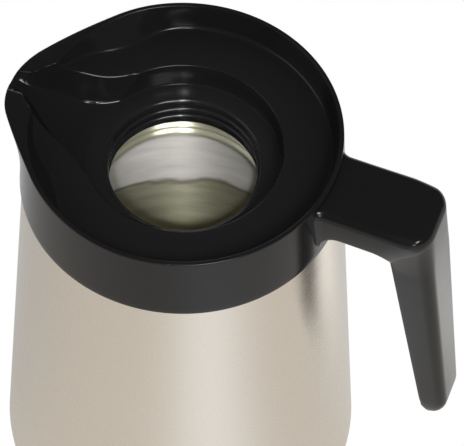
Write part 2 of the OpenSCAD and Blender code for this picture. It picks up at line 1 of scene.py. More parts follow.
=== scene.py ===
# %% [markdown]
# # A steel vacuum carafe, dressed for its picture
# This file takes the plain solids of a vacuum carafe and gives them the forms and finishes that a
# camera sees: a moulded collar with soft edges, a rounded handle, brushed steel, screw threads.
# The solids come in first and stay where they are, so every new piece has something to fit.

# %% Start: bring in the solids
import math
import bmesh
import bpy
import numpy as np
from mathutils import Matrix, Vector


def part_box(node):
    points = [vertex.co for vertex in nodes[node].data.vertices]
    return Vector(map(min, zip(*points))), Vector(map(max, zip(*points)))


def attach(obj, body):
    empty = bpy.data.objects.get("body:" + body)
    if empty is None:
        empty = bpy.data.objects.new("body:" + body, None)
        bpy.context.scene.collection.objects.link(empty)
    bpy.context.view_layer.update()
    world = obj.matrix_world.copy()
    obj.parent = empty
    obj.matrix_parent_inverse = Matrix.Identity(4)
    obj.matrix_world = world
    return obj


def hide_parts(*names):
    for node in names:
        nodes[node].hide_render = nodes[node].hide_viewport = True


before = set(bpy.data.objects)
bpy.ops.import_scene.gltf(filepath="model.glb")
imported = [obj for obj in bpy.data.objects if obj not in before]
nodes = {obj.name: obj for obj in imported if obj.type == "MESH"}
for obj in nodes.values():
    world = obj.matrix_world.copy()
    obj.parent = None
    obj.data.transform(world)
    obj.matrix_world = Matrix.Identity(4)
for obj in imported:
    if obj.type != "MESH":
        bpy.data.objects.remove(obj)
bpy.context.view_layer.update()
MM = 0.001

# %% [markdown]
# ## Sizes that several pieces share
# A moulded part is drawn from a few heights and radii. They are measured from the solids where a
# solid gives them, and written in millimetres here, because the mouldings are designed in them.

# %% Shared sizes in millimetres
RIM_Z = round(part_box("collar")[1][2] / MM, 3)
RIM_R = 62.0
SKIRT_R = 64.5
SKIRT_IN_R = 62.3
COLLAR_H = 31.0
DISH_DEPTH, INSERT_FLANGE, COLLAR_FLANGE = 11.8, 1.6, 1.9
SKIRT_Z = RIM_Z - COLLAR_H
FLOOR_Z = RIM_Z - DISH_DEPTH
LEDGE_Z = round(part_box("neck_insert")[1][2] / MM, 3)
BORE_END_Z = round(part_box("neck_insert")[0][2] / MM, 3)
SEAT_Z = LEDGE_Z - INSERT_FLANGE
RECESS_R = 39.3
TUBE_R = 41.9
BORE_R = 30.5
NOSE_R = 27.7
SPOUT_REACH = 75.0
LIP_FALL_X, LIP_FALL_R = 34.0, 124.0
print("rim", RIM_Z, "floor", FLOOR_Z, "ledge", LEDGE_Z, "bore end", BORE_END_Z)

# %% [markdown]
# ## From rings of points to a smooth piece
# Mouldings are rings of points joined into a skin: round an axis, along a grip, down a channel.
# One helper makes the skin, another cuts one skin with another, and a third rounds a corner.

# %% Helpers that make meshes
def new_object(name, mesh):
    piece = bpy.data.objects.new(name, mesh)
    bpy.context.scene.collection.objects.link(piece)
    return piece


def skin(name, rings, closed=False, caps=True):
    """Joins rings of equal length, in millimetres, into one mesh of quads."""
    count, size = len(rings), len(rings[0])
    points = [tuple(c * MM for c in p) for ring in rings for p in ring]
    faces = []
    for k in range(count if closed else count - 1):
        a, b = k * size, (k + 1) % count * size
        for i in range(size):
            j = (i + 1) % size
            faces.append((a + i, a + j, b + j, b + i))
    if caps and not closed:
        faces.append(tuple(range(size - 1, -1, -1)))
        faces.append(tuple((count - 1) * size + i for i in range(size)))
    mesh = bpy.data.meshes.new(name)
    mesh.from_pydata(points, [], faces)
    return outward(new_object(name, mesh))


def outward(piece):
    """Turns every face of a closed mesh to the outside."""
    work = bmesh.new()
    work.from_mesh(piece.data)
    bmesh.ops.remove_doubles(work, verts=work.verts, dist=1e-7)
    bmesh.ops.recalc_face_normals(work, faces=work.faces)
    work.to_mesh(piece.data)
    work.free()
    return piece


def smooth(piece, degrees=35):
    """Shades the piece smoothly, with a crease where faces meet at more than the angle."""
    for face in piece.data.polygons:
        face.use_smooth = True
    work = bmesh.new()
    work.from_mesh(piece.data)
    for edge in work.edges:
        sharp = len(edge.link_faces) != 2 or edge.calc_face_angle(0) > math.radians(degrees)
        edge.smooth = not sharp
    work.to_mesh(piece.data)
    work.free()
    return piece


def baked(piece):
    """Applies the piece's modifiers, so that what is left is a plain mesh."""
    ready = bpy.data.meshes.new_from_object(piece.evaluated_get(bpy.context.evaluated_depsgraph_get()))
    piece.modifiers.clear()
    old = piece.data
    piece.data = ready
    bpy.data.meshes.remove(old)
    ready.name = piece.name
    return piece


def cut(piece, tool, operation="DIFFERENCE"):
    """Cuts the piece with a tool, which is then thrown away."""
    step = piece.modifiers.new("cut", "BOOLEAN")
    step.operation, step.solver, step.object = operation, "EXACT", tool
    baked(piece)
    bpy.data.objects.remove(tool)
    return piece


def bezier(a, b, c, steps):
    """Points along a soft corner that leaves a toward b and arrives at c."""
    out = []
    for i in range(steps + 1):
        t = i / steps
        out.append(tuple((1 - t) ** 2 * p + 2 * t * (1 - t) * q + t * t * r for p, q, r in zip(a, b, c)))
    return out


def soft_path(points, steps=4):
    """Rounds the corners of a path of (r, z, rounding) rows."""
    out = []
    for i, (r, z, radius) in enumerate(points):
        if not radius:
            out.append((r, z))
            continue
        here = np.array((r, z))
        back = np.array(points[i - 1][:2]) - here
        on = np.array(points[(i + 1) % len(points)][:2]) - here
        lb, lo = np.linalg.norm(back), np.linalg.norm(on)
        reach = min(radius, lb * 0.45, lo * 0.45)
        out += bezier(here + back / lb * reach, here, here + on / lo * reach, steps)
    return out


def spin(name, path, turns=180):
    """Revolves a closed path of (r, z) points about the axis."""
    rings = []
    for k in range(turns):
        a = 2 * math.pi * k / turns
        rings.append([(r * math.cos(a), r * math.sin(a), z) for r, z in path])
    return skin(name, rings, closed=True)


# %% [markdown]
# ## Writing shader sums as Python
# A finish is a small sum on each point of the surface. Blender adds such sums as nodes, which are
# slow to read when they are placed one by one, so a small class stands for a socket and turns
# + - * / into Math nodes. Any other node comes from one method, `add`. A finish is given plain
# values first, and `feed` then lets a pattern take the place of one of them.

# %% The socket class and the finish builder
class Socket:
    """A node's output that can be used in sums."""

    def __init__(self, tree, socket):
        self.tree, self.socket = tree, socket

    def sum(self, operation, *values):
        return self.tree.add("ShaderNodeMath", {"operation": operation}, dict(enumerate(values)))

    def __add__(self, other):
        return self.sum("ADD", self, other)

    def __radd__(self, other):
        return self.sum("ADD", other, self)

    def __sub__(self, other):
        return self.sum("SUBTRACT", self, other)

    def __rsub__(self, other):
        return self.sum("SUBTRACT", other, self)

    def __mul__(self, other):
        return self.sum("MULTIPLY", self, other)

    def __rmul__(self, other):
        return self.sum("MULTIPLY", other, self)

    def __truediv__(self, other):
        return self.sum("DIVIDE", self, other)

    def clamp(self):
        return self.tree.add("ShaderNodeClamp", {}, {0: self, 1: 0.0, 2: 1.0})

    def absolute(self):
        return self.sum("ABSOLUTE", self)

    def bell(self):
        """A soft hump that is 1 where the value is 0, and falls away on both sides."""
        return self.sum("EXPONENT", 0 - self * self)


class Tree:
    """A node tree that is written one call at a time."""

    def __init__(self, tree):
        self.tree = tree

    def node(self, kind, settings=None, inputs=None):
        made = self.tree.nodes.new(kind)
        for key, value in (settings or {}).items():
            if key == "stops":
                ramp = made.color_ramp.elements
                while len(ramp) < len(value):
                    ramp.new(0.5)
                for stop, (place, colour) in zip(ramp, value):
                    stop.position, stop.color = place, (*colour, 1)
            else:
                setattr(made, key, value)
        for key, value in (inputs or {}).items():
            self.put(made.inputs[key], value)
        return made

    def add(self, kind, settings=None, inputs=None, out=0):
        return Socket(self, self.node(kind, settings, inputs).outputs[out])

    def put(self, socket, value):
        if isinstance(value, Socket):
            self.tree.links.new(value.socket, socket)
        else:
            socket.default_value = value

    def blend(self, amount, first, second):
        """Goes from the first colour to the second as the amount goes from 0 to 1."""
        return self.add("ShaderNodeMix", {"data_type": "RGBA"},
                        {0: amount, 6: first if isinstance(first, Socket) else (*first, 1),
                         7: second if isinstance(second, Socket) else (*second, 1)}, 2)


class Finish(Tree):
    """A material with one surface shader, and the object's own coordinates to hang patterns on."""

    def __init__(self, name, colour, **fixed):
        self.material = bpy.data.materials.new(name)
        self.material.use_nodes = True
        super().__init__(self.material.node_tree)
        self.surface = self.tree.nodes["Principled BSDF"]
        self.surface.inputs["Base Color"].default_value = (*colour, 1)
        for key, value in fixed.items():
            self.surface.inputs[key.replace("_", " ").title().replace("Ior", "IOR")].default_value = value
        self.place = self.add("ShaderNodeTexCoord", {}, {}, "Object")

    def noise(self, scale, detail=3.0, roughness=0.5, stretch=(1, 1, 1)):
        spot = self.add("ShaderNodeMapping", {}, {"Vector": self.place, "Scale": stretch})
        return self.add("ShaderNodeTexNoise", {}, {"Vector": spot, "Scale": scale, "Detail": detail,
                                                   "Roughness": roughness}, "Fac")

    def bump(self, height, depth, strength=1.0):
        self.put(self.surface.inputs["Normal"],
                 self.add("ShaderNodeBump", {}, {"Height": height, "Distance": depth, "Strength": strength}))

    def feed(self, socket, value):
        self.put(self.surface.inputs[socket], value)


def dress(piece, finish):
    """Gives a piece its one finish."""
    piece.data.materials.clear()
    piece.data.materials.append(finish.material)
    return piece


def settle(piece, body, slot, *replaced):
    """Sets what a finished piece moves with and hides the solids that it stands for. The slot is not used."""
    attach(piece, body)
    if replaced:
        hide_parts(*replaced)
    print(piece.name, len(piece.data.polygons), "faces, rides on", body)
    return piece


# %% [markdown]
# ## The camera
# The picture was taken with a long lens from well above, a little to the handle's side, and the
# camera was tipped by a couple of degrees. The view was worked out from the round edges, because
# circles at known heights fix the place of a camera better than any single point does.

# %% Camera at the picture's viewpoint
VIEW_TURN, VIEW_RISE, VIEW_ROLL = math.radians(19.5), math.radians(56.9), math.radians(-2.5)
PICTURE_W, PICTURE_H, FOCAL_PX = 464, 446, 2200
RIM_CENTRE_PX, RIM_CENTRE_FAR = (183.3, 128.6), 845.7 * MM

back = Vector((math.sin(VIEW_TURN) * math.cos(VIEW_RISE), -math.cos(VIEW_TURN) * math.cos(VIEW_RISE),
               math.sin(VIEW_RISE)))
level = Vector((math.cos(VIEW_TURN), math.sin(VIEW_TURN), 0))
lift = back.cross(level)
right = level * math.cos(VIEW_ROLL) - lift * math.sin(VIEW_ROLL)
upward = level * math.sin(VIEW_ROLL) + lift * math.cos(VIEW_ROLL)
across = (RIM_CENTRE_PX[0] - PICTURE_W / 2) / FOCAL_PX * RIM_CENTRE_FAR
down = (RIM_CENTRE_PX[1] - PICTURE_H / 2) / FOCAL_PX * RIM_CENTRE_FAR
spot = Vector((0, 0, RIM_Z * MM)) - right * across + upward * down + back * RIM_CENTRE_FAR

lens = bpy.data.cameras.new("camera")
lens.sensor_width, lens.sensor_fit = 36, "HORIZONTAL"
lens.lens = FOCAL_PX / PICTURE_W * lens.sensor_width
lens.clip_start, lens.clip_end = 0.05, 20
camera = new_object("camera", lens)
turned = Matrix((right, upward, back)).transposed().to_4x4()
turned.translation = spot
camera.matrix_world = turned
bpy.context.scene.camera = camera
print("camera at", [round(v, 3) for v in spot], "lens", round(lens.lens, 1), "mm")

# %% [markdown]
# ## Finishes
# A few plain materials cover the object: brushed steel outside, bright steel inside, moulded
# plastics, rubber and milky silicone. None is one flat colour: each has a little change in shade
# and roughness, and a fine relief that breaks up its reflections. Steel that is brushed round the
# body spreads a highlight up and down but not sideways, which is what anisotropy is for.

# %% Brushed steel for the outer shell
outer_steel = Finish("brushed_steel", (0.74, 0.69, 0.625), metallic=1.0, roughness=0.32, anisotropic=0.7,
                     anisotropic_rotation=0.25)
lines = outer_steel.noise(1.0, 3, 0.55, stretch=(14, 14, 2600))
clouds = outer_steel.noise(9.0, 2, 0.5, stretch=(1, 1, 0.35))
outer_steel.feed("Base Color", outer_steel.blend((clouds * 0.8 + lines * 0.12 - 0.05).clamp(),
                                                 (0.68, 0.63, 0.57), (0.80, 0.75, 0.68)))
outer_steel.feed("Roughness", 0.22 + lines * 0.1)
outer_steel.bump(lines, 0.000004, 0.06)

# %% [markdown]
# The flask's sheet is satin where it was blasted. Below a line deep inside, and in the neck, it
# is polished, and its olive-brown tone there is a painted reflection. One mask along the height
# tells the two apart, a slow noise makes its edge wander, and a painted dark line, the edge of the
# painted reflection, is drawn where the mask turns.

# %% Bright steel for the flask inside
PAINTED_EDGE_Z, SATIN_TOP_Z = 0.0915, 0.168
bright_steel = Finish("bright_steel", (0.82, 0.80, 0.73), metallic=0.35, roughness=0.3, anisotropic=0.97,
                      anisotropic_rotation=0.25)
swirl = bright_steel.noise(1.0, 3, 0.55, stretch=(30, 30, 2200))
wave = bright_steel.noise(22, 3, 0.6)
patches = bright_steel.noise(1.0, 4, 0.6, stretch=(30, 30, 130))
up = bright_steel.add("ShaderNodeSeparateXYZ", {}, {"Vector": bright_steel.place}, "Z")
over = (up - PAINTED_EDGE_Z + (wave - 0.5) * 0.022) * 450
satin = over.clamp() * ((SATIN_TOP_Z - up) * 400).clamp()
# A painted dark line where the mask turns: the edge of the painted reflection
painted_edge_line = (1 - (over - 0.5).absolute() * 0.8).clamp()
satin_tone = bright_steel.blend(patches, (1.0, 0.97, 0.92), (0.5, 0.48, 0.44))
# The olive-brown tone of the polished part is a painted reflection
painted_reflection_tone = bright_steel.blend(patches, (0.95, 0.94, 0.74), (0.36, 0.35, 0.22))
bright_steel.feed("Base Color", bright_steel.blend(
    painted_edge_line * 0.8, bright_steel.blend(satin, painted_reflection_tone, satin_tone), (0.16, 0.15, 0.11)))
bright_steel.feed("Metallic", 0.75 - satin * 0.5)
bright_steel.feed("Roughness", 0.27 + satin * 0.09 + swirl * 0.1)
bright_steel.bump(swirl, 0.00001, 0.15)

# %% [markdown]
# Hidden metal is simple: rolled sheet has fine lines along one direction, a screw's plating has a
# faint mottle, and the getter is pressed powder, which is rough and pitted. They are kept apart
# from the steel that is seen, because a cutaway view would show them side by side.

# %% Plainer metals
plain_steel = Finish("plain_steel", (0.5, 0.5, 0.5), metallic=1.0, roughness=0.38)
rolled = plain_steel.noise(1.0, 3, 0.5, stretch=(900, 30, 30))
plain_steel.feed("Roughness", 0.3 + rolled * 0.18)
plain_steel.bump(rolled, 0.00002, 0.3)

screw_steel = Finish("screw_steel", (0.56, 0.56, 0.57), metallic=1.0, roughness=0.28)
screw_steel.feed("Roughness", 0.2 + screw_steel.noise(900) * 0.2)

powder = Finish("getter_powder", (0.3, 0.29, 0.27), metallic=0.6, roughness=0.8)
powder.bump(powder.noise(1400, 4), 0.0002, 0.8)

# %% [markdown]
# A moulding copies the surface of its mould. A polished mould gives the collar and the handle a
# gloss that is still a little wavy, and an eroded one gives the grip's strip its fine grain. So the
# black plastics have nearly one colour, and it is roughness and relief that tell them apart. The
# clamp's plastic is filled with glass fibre, and its streaks show as paler grey.

# %% Moulded plastics
gloss = Finish("gloss_plastic", (0.008, 0.008, 0.0085), roughness=0.16, ior=1.34)
ripple = gloss.noise(160, 2, 0.4)
speck = gloss.noise(2200, 2, 0.5)
gloss.feed("Roughness", 0.13 + ripple * 0.08)
gloss.bump(ripple * 0.6 + speck * 0.08, 0.00004, 0.25)

semi = Finish("semi_gloss_plastic", (0.009, 0.009, 0.0095), roughness=0.17, ior=1.34)
semi_speck = semi.noise(1800, 2, 0.5)
semi.feed("Roughness", 0.14 + semi_speck * 0.07)
semi.bump(semi_speck, 0.00002, 0.25)

matt = Finish("matt_plastic", (0.016, 0.016, 0.017), roughness=0.45)
grain = matt.noise(2600, 3, 0.6)
matt.feed("Roughness", 0.38 + grain * 0.2)
matt.bump(grain, 0.00005, 0.5)

grey = Finish("filled_plastic", (0.2, 0.2, 0.21), roughness=0.5)
fibre = grey.noise(1.0, 4, 0.7, stretch=(900, 200, 900))
grey.feed("Base Color", grey.blend(fibre, (0.16, 0.16, 0.17), (0.26, 0.26, 0.27)))
grey.bump(fibre, 0.00005, 0.4)

# %% [markdown]
# Rubber is dull and a little chalky. Silicone is milky, because light goes some way into it before
# it comes back, and a small share of subsurface light gives that without any transparency.

# %% Rubber and silicone
rubber = Finish("foot_rubber", (0.025, 0.025, 0.027), roughness=0.6)
chalk = rubber.noise(700, 4, 0.6)
rubber.feed("Roughness", 0.5 + chalk * 0.25)
rubber.bump(chalk, 0.00006, 0.4)

silicone = Finish("milky_silicone", (0.7, 0.68, 0.63), roughness=0.35, subsurface_weight=0.2)
haze = silicone.noise(400, 3, 0.5)
silicone.feed("Base Color", silicone.blend(haze, (0.62, 0.6, 0.56), (0.76, 0.74, 0.7)))
silicone.feed("Roughness", 0.3 + haze * 0.15)
print("finishes:", [m.name for m in bpy.data.materials])

# %% [markdown]
# ## The pouring collar
# The collar is one moulding: a flared skirt, a flat lip that swells and falls into the spout, a
# dish inside the lip, a round recess for the lid and a channel from the recess to the spout.
# Almost all of it is one cross-section that changes with the angle, so it is drawn as a ring of
# cross-sections, with every edge softened as a mould would leave it. Only the channel, which
# crosses those sections, is cut afterwards.

# %% Outline, lip and dish of the collar
def outline(angle, big, small):
    """Distance from the axis to the outline round two circles, the rim's and the nose's."""
    share = np.linspace(0, 1, 161)
    centre = (NOSE_R - SPOUT_REACH) * share
    radius = big + (small - big) * share
    along = centre * math.cos(angle)
    inside = radius ** 2 - centre ** 2 + along ** 2
    return float(np.max(np.where(inside > 0, along + np.sqrt(np.maximum(inside, 0)), 0)))


def lip_z(x):
    """The lip is level, and falls along an arc toward the spout."""
    if x > -LIP_FALL_X:
        return RIM_Z
    return RIM_Z - LIP_FALL_R + math.sqrt(LIP_FALL_R ** 2 - (x + LIP_FALL_X) ** 2)


SKIRT_FLARE, NOSE_FLARE, FLANGE_IN_R = 2.5, 9, 36
DISH_TOP_R, DISH_FOOT_R = RIM_R - 1.8, 58.5
BULGE, BULGE_AT, BULGE_WIDE = 5.9, 42, 14
BANK_END, BANK_FADE = 8.5, 11


def foot_r(off_spout):
    """The dish's foot swells inward beside the spout, at degrees from it."""
    return DISH_FOOT_R - BULGE * math.exp(-((off_spout - BULGE_AT) / BULGE_WIDE) ** 2)


def foot_z(off_spout):
    """The foot lies on the dish's floor, and climbs to the lip in front of the spout."""
    bank = 1 if off_spout < BANK_END else math.exp(-(off_spout - BANK_END) / BANK_FADE)
    top = lip_z(-foot_r(off_spout) * math.cos(math.radians(off_spout)))
    return FLOOR_Z + (top - 0.3 - FLOOR_Z) * bank


def wall_r(angle, share):
    """Distance to the outer wall at a share of the height from the skirt's edge to the rim."""
    return outline(angle, SKIRT_R - SKIRT_FLARE * share, NOSE_R - NOSE_FLARE + NOSE_FLARE * share)


def collar_section(turn):
    """One cross-section of the collar, as (r, z) points, at an angle in degrees."""
    angle = math.radians(turn)
    off_spout = abs(180 - turn % 360)
    top = RIM_Z
    for _ in range(3):
        edge = wall_r(angle, (top - SKIRT_Z) / COLLAR_H)
        top = lip_z(edge * math.cos(angle))
    inner_top = lip_z(DISH_TOP_R * math.cos(angle))
    fr, fz = foot_r(off_spout), foot_z(off_spout)
    rise = max(inner_top - fz, 0.25)
    middle = edge + (DISH_TOP_R - edge) * 0.55
    path = [(SKIRT_IN_R, SKIRT_Z, 0), (wall_r(angle, 0), SKIRT_Z, 0.3)]
    for share in (0.1, 0.28, 0.46, 0.64, 0.82, 1):
        z = SKIRT_Z + (top - 1.2 - SKIRT_Z) * share
        path.append((wall_r(angle, (z - SKIRT_Z) / COLLAR_H), z, 0))
    path += [(edge, top, 0.8), (middle, lip_z(middle * math.cos(angle)), 0)]
    path += [(DISH_TOP_R, inner_top, min(0.9, rise * 0.3))]
    path += [((DISH_TOP_R + fr) / 2, (inner_top + fz) / 2, 0), (fr, fz, min(1.6, rise * 0.4))]
    path += [(RECESS_R + (fr - RECESS_R) * k, FLOOR_Z + (fz - FLOOR_Z) * k, 0) for k in (0.72, 0.36)]
    path += [(RECESS_R, FLOOR_Z, 0.6), (RECESS_R, (FLOOR_Z + LEDGE_Z) / 2, 0)]
    # A small fillet at the recess's foot, and then the seat of the insert
    path += [(RECESS_R, LEDGE_Z + 1.0, 0), (RECESS_R - 0.12, LEDGE_Z + 0.5, 0)]
    path += [(RECESS_R - 0.45, LEDGE_Z + 0.14, 0), (RECESS_R - 0.95, LEDGE_Z + 0.02, 0)]
    path += [(RECESS_R, LEDGE_Z - 0.1, 0), (RECESS_R, SEAT_Z, 0), (FLANGE_IN_R, SEAT_Z, 0)]
    path += [(FLANGE_IN_R, SEAT_Z - COLLAR_FLANGE, 0), (TUBE_R, SEAT_Z - COLLAR_FLANGE, 0)]
    # Under the channel the hollow has a low roof, so that the moulding keeps its wall there
    hollow = min(1, max(0, (off_spout - 52) / 22))
    roof = SEAT_Z - 1.7 + (FLOOR_Z - 2.6 - SEAT_Z + 1.7) * hollow
    path += [(TUBE_R + 0.1, roof, 0), (RIM_R - 5.2, roof, 0)]
    path += [(RIM_R - 2.6, min(roof, FLOOR_Z - 5.2), 0), (SKIRT_IN_R, SKIRT_Z + 3.2, 0)]
    return soft_path(path)


# %% The collar's ring of cross-sections
turns, turn = [], 0.0
while turn < 360:
    turns.append(turn)
    turn += 0.75 if abs(180 - turn) < 60 else 1.5
rings = []
for turn in turns:
    a = math.radians(turn)
    rings.append([(r * math.cos(a), r * math.sin(a), z) for r, z in collar_section(turn)])
collar = skin("pouring_collar", rings, closed=True)
print("collar:", len(rings), "cross-sections of", len(rings[0]), "points")

# %% [markdown]
# ## The pouring channel
# The channel starts as wide as the recess and narrows to a groove at the tip, while its bed climbs
# from the lid's ledge to the lip. It is drawn as a cutter with a flared upper edge: what the flare
# takes off is the rounding that a mould leaves where two surfaces meet. Four tables with one row
# for each share of the way say how wide the channel and its bed are and how far the bed has risen.

# %% The channel as a cutter
SHARES = [-0.12, 0, 0.07, 0.15, 0.23, 0.38, 0.52, 0.65, 0.715, 0.79, 0.88, 0.97, 1.1]
HALF_WIDTHS = [0.62, 0.64, 0.58, 0.52, 0.473, 0.412, 0.356, 0.285, 0.224, 0.137, 0.12, 0.104, 0.1]
BED_WIDTHS = [0.6, 0.545, 0.485, 0.42, 0.362, 0.298, 0.225, 0.15, 0.106, 0.068, 0.05, 0.034, 0.03]
BED_RISES = [0, 0, 0, 0.004, 0.02, 0.075, 0.3, 0.54, 0.665, 0.79, 0.92, 1.01, 1.15]
TIP_Z = lip_z(-SPOUT_REACH) + 0.05


def eased(share, values):
    """Reads a table with a smooth curve through its rows."""
    k = min(max(np.searchsorted(SHARES, share) - 1, 0), len(SHARES) - 2)
    slopes = np.gradient(values, SHARES)
    width = SHARES[k + 1] - SHARES[k]
    t = (share - SHARES[k]) / width
    a, b, m, n = values[k], values[k + 1], slopes[k] * width, slopes[k + 1] * width
    return a + t * (m + t * (3 * (b - a) - 2 * m - n + t * (2 * (a - b) + m + n)))


def top_z(x, y):
    """Height of the collar's upper face over a place."""
    r, off_spout = math.hypot(x, y), math.degrees(math.atan2(abs(y), -x))
    fr, fz = foot_r(off_spout), foot_z(off_spout)
    if r > DISH_TOP_R:
        return lip_z(x)
    if r > fr:
        inner_top = lip_z(-DISH_TOP_R * math.cos(math.radians(off_spout)))
        return fz + (inner_top - fz) * (r - fr) / (DISH_TOP_R - fr)
    return FLOOR_Z + max(0, (r - RECESS_R) / (fr - RECESS_R)) * (fz - FLOOR_Z)


def channel_ring(share):
    """The cutter's section at a share of the way from the bore's edge to the tip."""
    x = -BORE_R - share * (SPOUT_REACH - BORE_R)
    half = RECESS_R * eased(share, HALF_WIDTHS)
    bed = RECESS_R * eased(share, BED_WIDTHS)
    z0 = LEDGE_Z + (TIP_Z - LEDGE_Z) * eased(share, BED_RISES)
    edge_z = max(z0 + 0.4, top_z(x, half))
    deep = edge_z - z0
    soft = min(0.9, deep * 0.45)
    side = [(half + soft, RIM_Z + 8), (half + soft, max(top_z(x, half + soft), edge_z) + 0.03),
            (half + soft * 0.5, edge_z - soft * 0.12), (half + soft * 0.14, edge_z - soft * 0.45),
            (half, edge_z - soft)]
    sag = min(0.6, bed * 0.06)
    knee = ((half + bed) / 2, (edge_z + 2 * z0) / 3 + 0.1)
    low = (bed, z0 + sag)
    bend = (low[0] + (knee[0] - low[0]) * 0.25, low[1] + (knee[1] - low[1]) * 0.25)
    side += bezier(side[-1], knee, bend, 4)[1:]
    side += bezier(side[-1], low, (bed * 0.93, z0 + sag * 0.85), 4)[1:]
    side += [(bed * 0.35, z0 + sag * 0.12), (0, z0)]
    ring = side + [(-y, z) for y, z in side[-2::-1]]
    return [(x, y, z) for y, z in ring]


channel = skin("channel", [channel_ring(s) for s in np.linspace(SHARES[0], SHARES[-1], 150)])
cut(collar, channel)
smooth(collar, 32)
dress(collar, gloss)
settle(collar, "carafe", "plastic_gloss", "collar")

# %% [markdown]
# ## The handle
# The handle is one thick moulding: a flat arm that leaves the skirt with a fillet all round, an
# elbow, and a grip that tapers and leans outward. Its section is a rounded rectangle everywhere,
# so it is drawn as a row of such sections along the arm and the grip. Then the collar's cone is
# cut out of its root, so that it meets the skirt exactly.

# %% Sizes and helpers of the handle
ARM_TOP_Z, ARM_UNDER_Z, HANDLE_END_Z = RIM_Z - 2.5, RIM_Z - 17.4, RIM_Z - 134.7
ARM_W, GRIP_W, GRIP_END_W = 31.5, 26.8, 18.6
ELBOW_X, INNER_X = RIM_R + 42.4, RIM_R + 28.2
OUTER_LEAN, INNER_LEAN = math.radians(8.7), math.radians(11.6)
OUTER_SLOPE, INNER_SLOPE = math.tan(OUTER_LEAN), math.tan(INNER_LEAN)
FILLET, ROOT_FILLET, ELBOW_ROUND, FLARE = 7.6, 8.0, 5.0, 5.0
ELBOW_LEAD, STRAIGHT_SHARE = 10, 0.45
INNER_EDGE, ARM_EDGE, GRIP_EDGE = 2.4, 4, 8
fillet_mid = np.array((INNER_X - FILLET, ARM_UNDER_Z - FILLET))
inner_from = fillet_mid + FILLET * np.array((math.cos(INNER_LEAN), math.sin(INNER_LEAN)))


def grip_in(z):
    return np.array((inner_from[0] + (inner_from[1] - z) * INNER_SLOPE, z))


def grip_out(z):
    return np.array((ELBOW_X + (ARM_TOP_Z - z) * OUTER_SLOPE, z))


def width_at(z):
    return GRIP_W + (GRIP_END_W - GRIP_W) * (ARM_UNDER_Z - z) / (ARM_UNDER_Z - HANDLE_END_Z)


def handle_ring(inner, outer, width, e_in, e_out):
    """A rounded rectangle between an inner and an outer point of the handle's middle plane."""
    inner, outer = np.array(inner, float), np.array(outer, float)
    d = np.linalg.norm(outer - inner)
    u = (outer - inner) / d
    r0, r1 = min(e_in, d / 3, width / 3), min(e_out, d / 3, width / 3)
    quarter = np.radians(np.linspace(0, 90, 10))
    half = width / 2
    flat = [(r0 - r0 * math.cos(a), r0 - half - r0 * math.sin(a)) for a in quarter]
    flat += [(d - r1 + r1 * math.sin(a), r1 - half - r1 * math.cos(a)) for a in quarter]
    flat += [(d - r1 + r1 * math.cos(a), half - r1 + r1 * math.sin(a)) for a in quarter]
    flat += [(r0 - r0 * math.sin(a), half - r0 + r0 * math.cos(a)) for a in quarter]
    return [(inner[0] + u[0] * p, y, inner[1] + u[1] * p) for p, y in flat]


# %% The row of sections
flare_mid = np.array((math.sqrt((RIM_R + FLARE) ** 2 - (ARM_W / 2 + FLARE) ** 2), ARM_W / 2 + FLARE))
flare_from = flare_mid * RIM_R / (RIM_R + FLARE)


def handle_rings(slim=0.0):
    """All sections from the root to the grip's end, made narrower on each side by slim."""
    rings = []
    # The arm, which widens and deepens into fillets at the skirt
    for x in np.concatenate((np.linspace(flare_from[0], 65, 14), np.linspace(65.6, 73, 12))):
        half = ARM_W / 2
        if x < flare_mid[0]:
            half = flare_mid[1] - math.sqrt(max(0, FLARE ** 2 - min(FLARE, flare_mid[0] - x) ** 2))
        k = 1 - max(0, min(1, (x - RIM_R - 1.2) / 7.5))
        under = ARM_UNDER_Z - ROOT_FILLET * (1 - math.sqrt(1 - k * k))
        rings.append(handle_ring((x, under), (x, ARM_TOP_Z), 2 * (half - slim), INNER_EDGE, ARM_EDGE))
    # The elbow: the inner corner turns all the way, the outer one in the second part of it
    elbow_mid = grip_out(ARM_TOP_Z - ELBOW_ROUND) - (ELBOW_ROUND, 0)
    for s in np.linspace(0, 1, 25):
        a = s * (math.pi / 2 - INNER_LEAN)
        inner = fillet_mid + FILLET * np.array((math.sin(a), math.cos(a)))
        if s < STRAIGHT_SHARE:
            outer = (elbow_mid[0] - (1 - s / STRAIGHT_SHARE) * ELBOW_LEAD, ARM_TOP_Z)
        else:
            b = (s - STRAIGHT_SHARE) / (1 - STRAIGHT_SHARE) * (math.pi / 2 - OUTER_LEAN)
            outer = elbow_mid + ELBOW_ROUND * np.array((math.sin(b), math.cos(b)))
        width = ARM_W + (width_at(inner_from[1]) - ARM_W) * s ** 2.2
        edge = ARM_EDGE + (GRIP_EDGE - ARM_EDGE) * s
        rings.append(handle_ring(inner, outer, width - 2 * slim, INNER_EDGE, edge))
    # The straight grip, and then its rounded end
    high, low = ARM_UNDER_Z - FILLET - 4, HANDLE_END_Z + 13
    for z in np.linspace(high, low, 14):
        rings.append(handle_ring(grip_in(z), grip_out(z + 1), width_at(z) - 2 * slim, INNER_EDGE, GRIP_EDGE))
    end = grip_in(HANDLE_END_Z + 3)
    for a in np.radians(np.linspace(8, 76, 12)):
        k, z = 1 - math.cos(a), low - 12 * math.sin(a)
        inner = grip_in(max(z, end[1])) + (6 * k * k, min(0, z - end[1]))
        outer = grip_out(z + 1) - (8.5 * k, -1.5 * k)
        rings.append(handle_ring(inner, outer, width_at(z) - 4 * k - 2 * slim, INNER_EDGE, GRIP_EDGE - 3 * k))
    return rings


# %% The handle and the strip along its inner face
def slab(name, z0, z1, near, far, half):
    """A block that follows the grip's inner face, between two depths from it."""
    a, b = grip_in(z0), grip_in(z1)
    side = [(a[0] + near, z0), (a[0] + far, z0), (b[0] + far, z1), (b[0] + near, z1)]
    return skin(name, [[(x, y, z) for x, z in side] for y in (-half, half)])


def cone(name, r0, r1, z0, z1):
    return spin(name, [(0, z0), (r0, z0), (r1, z1), (0, z1)], 240)


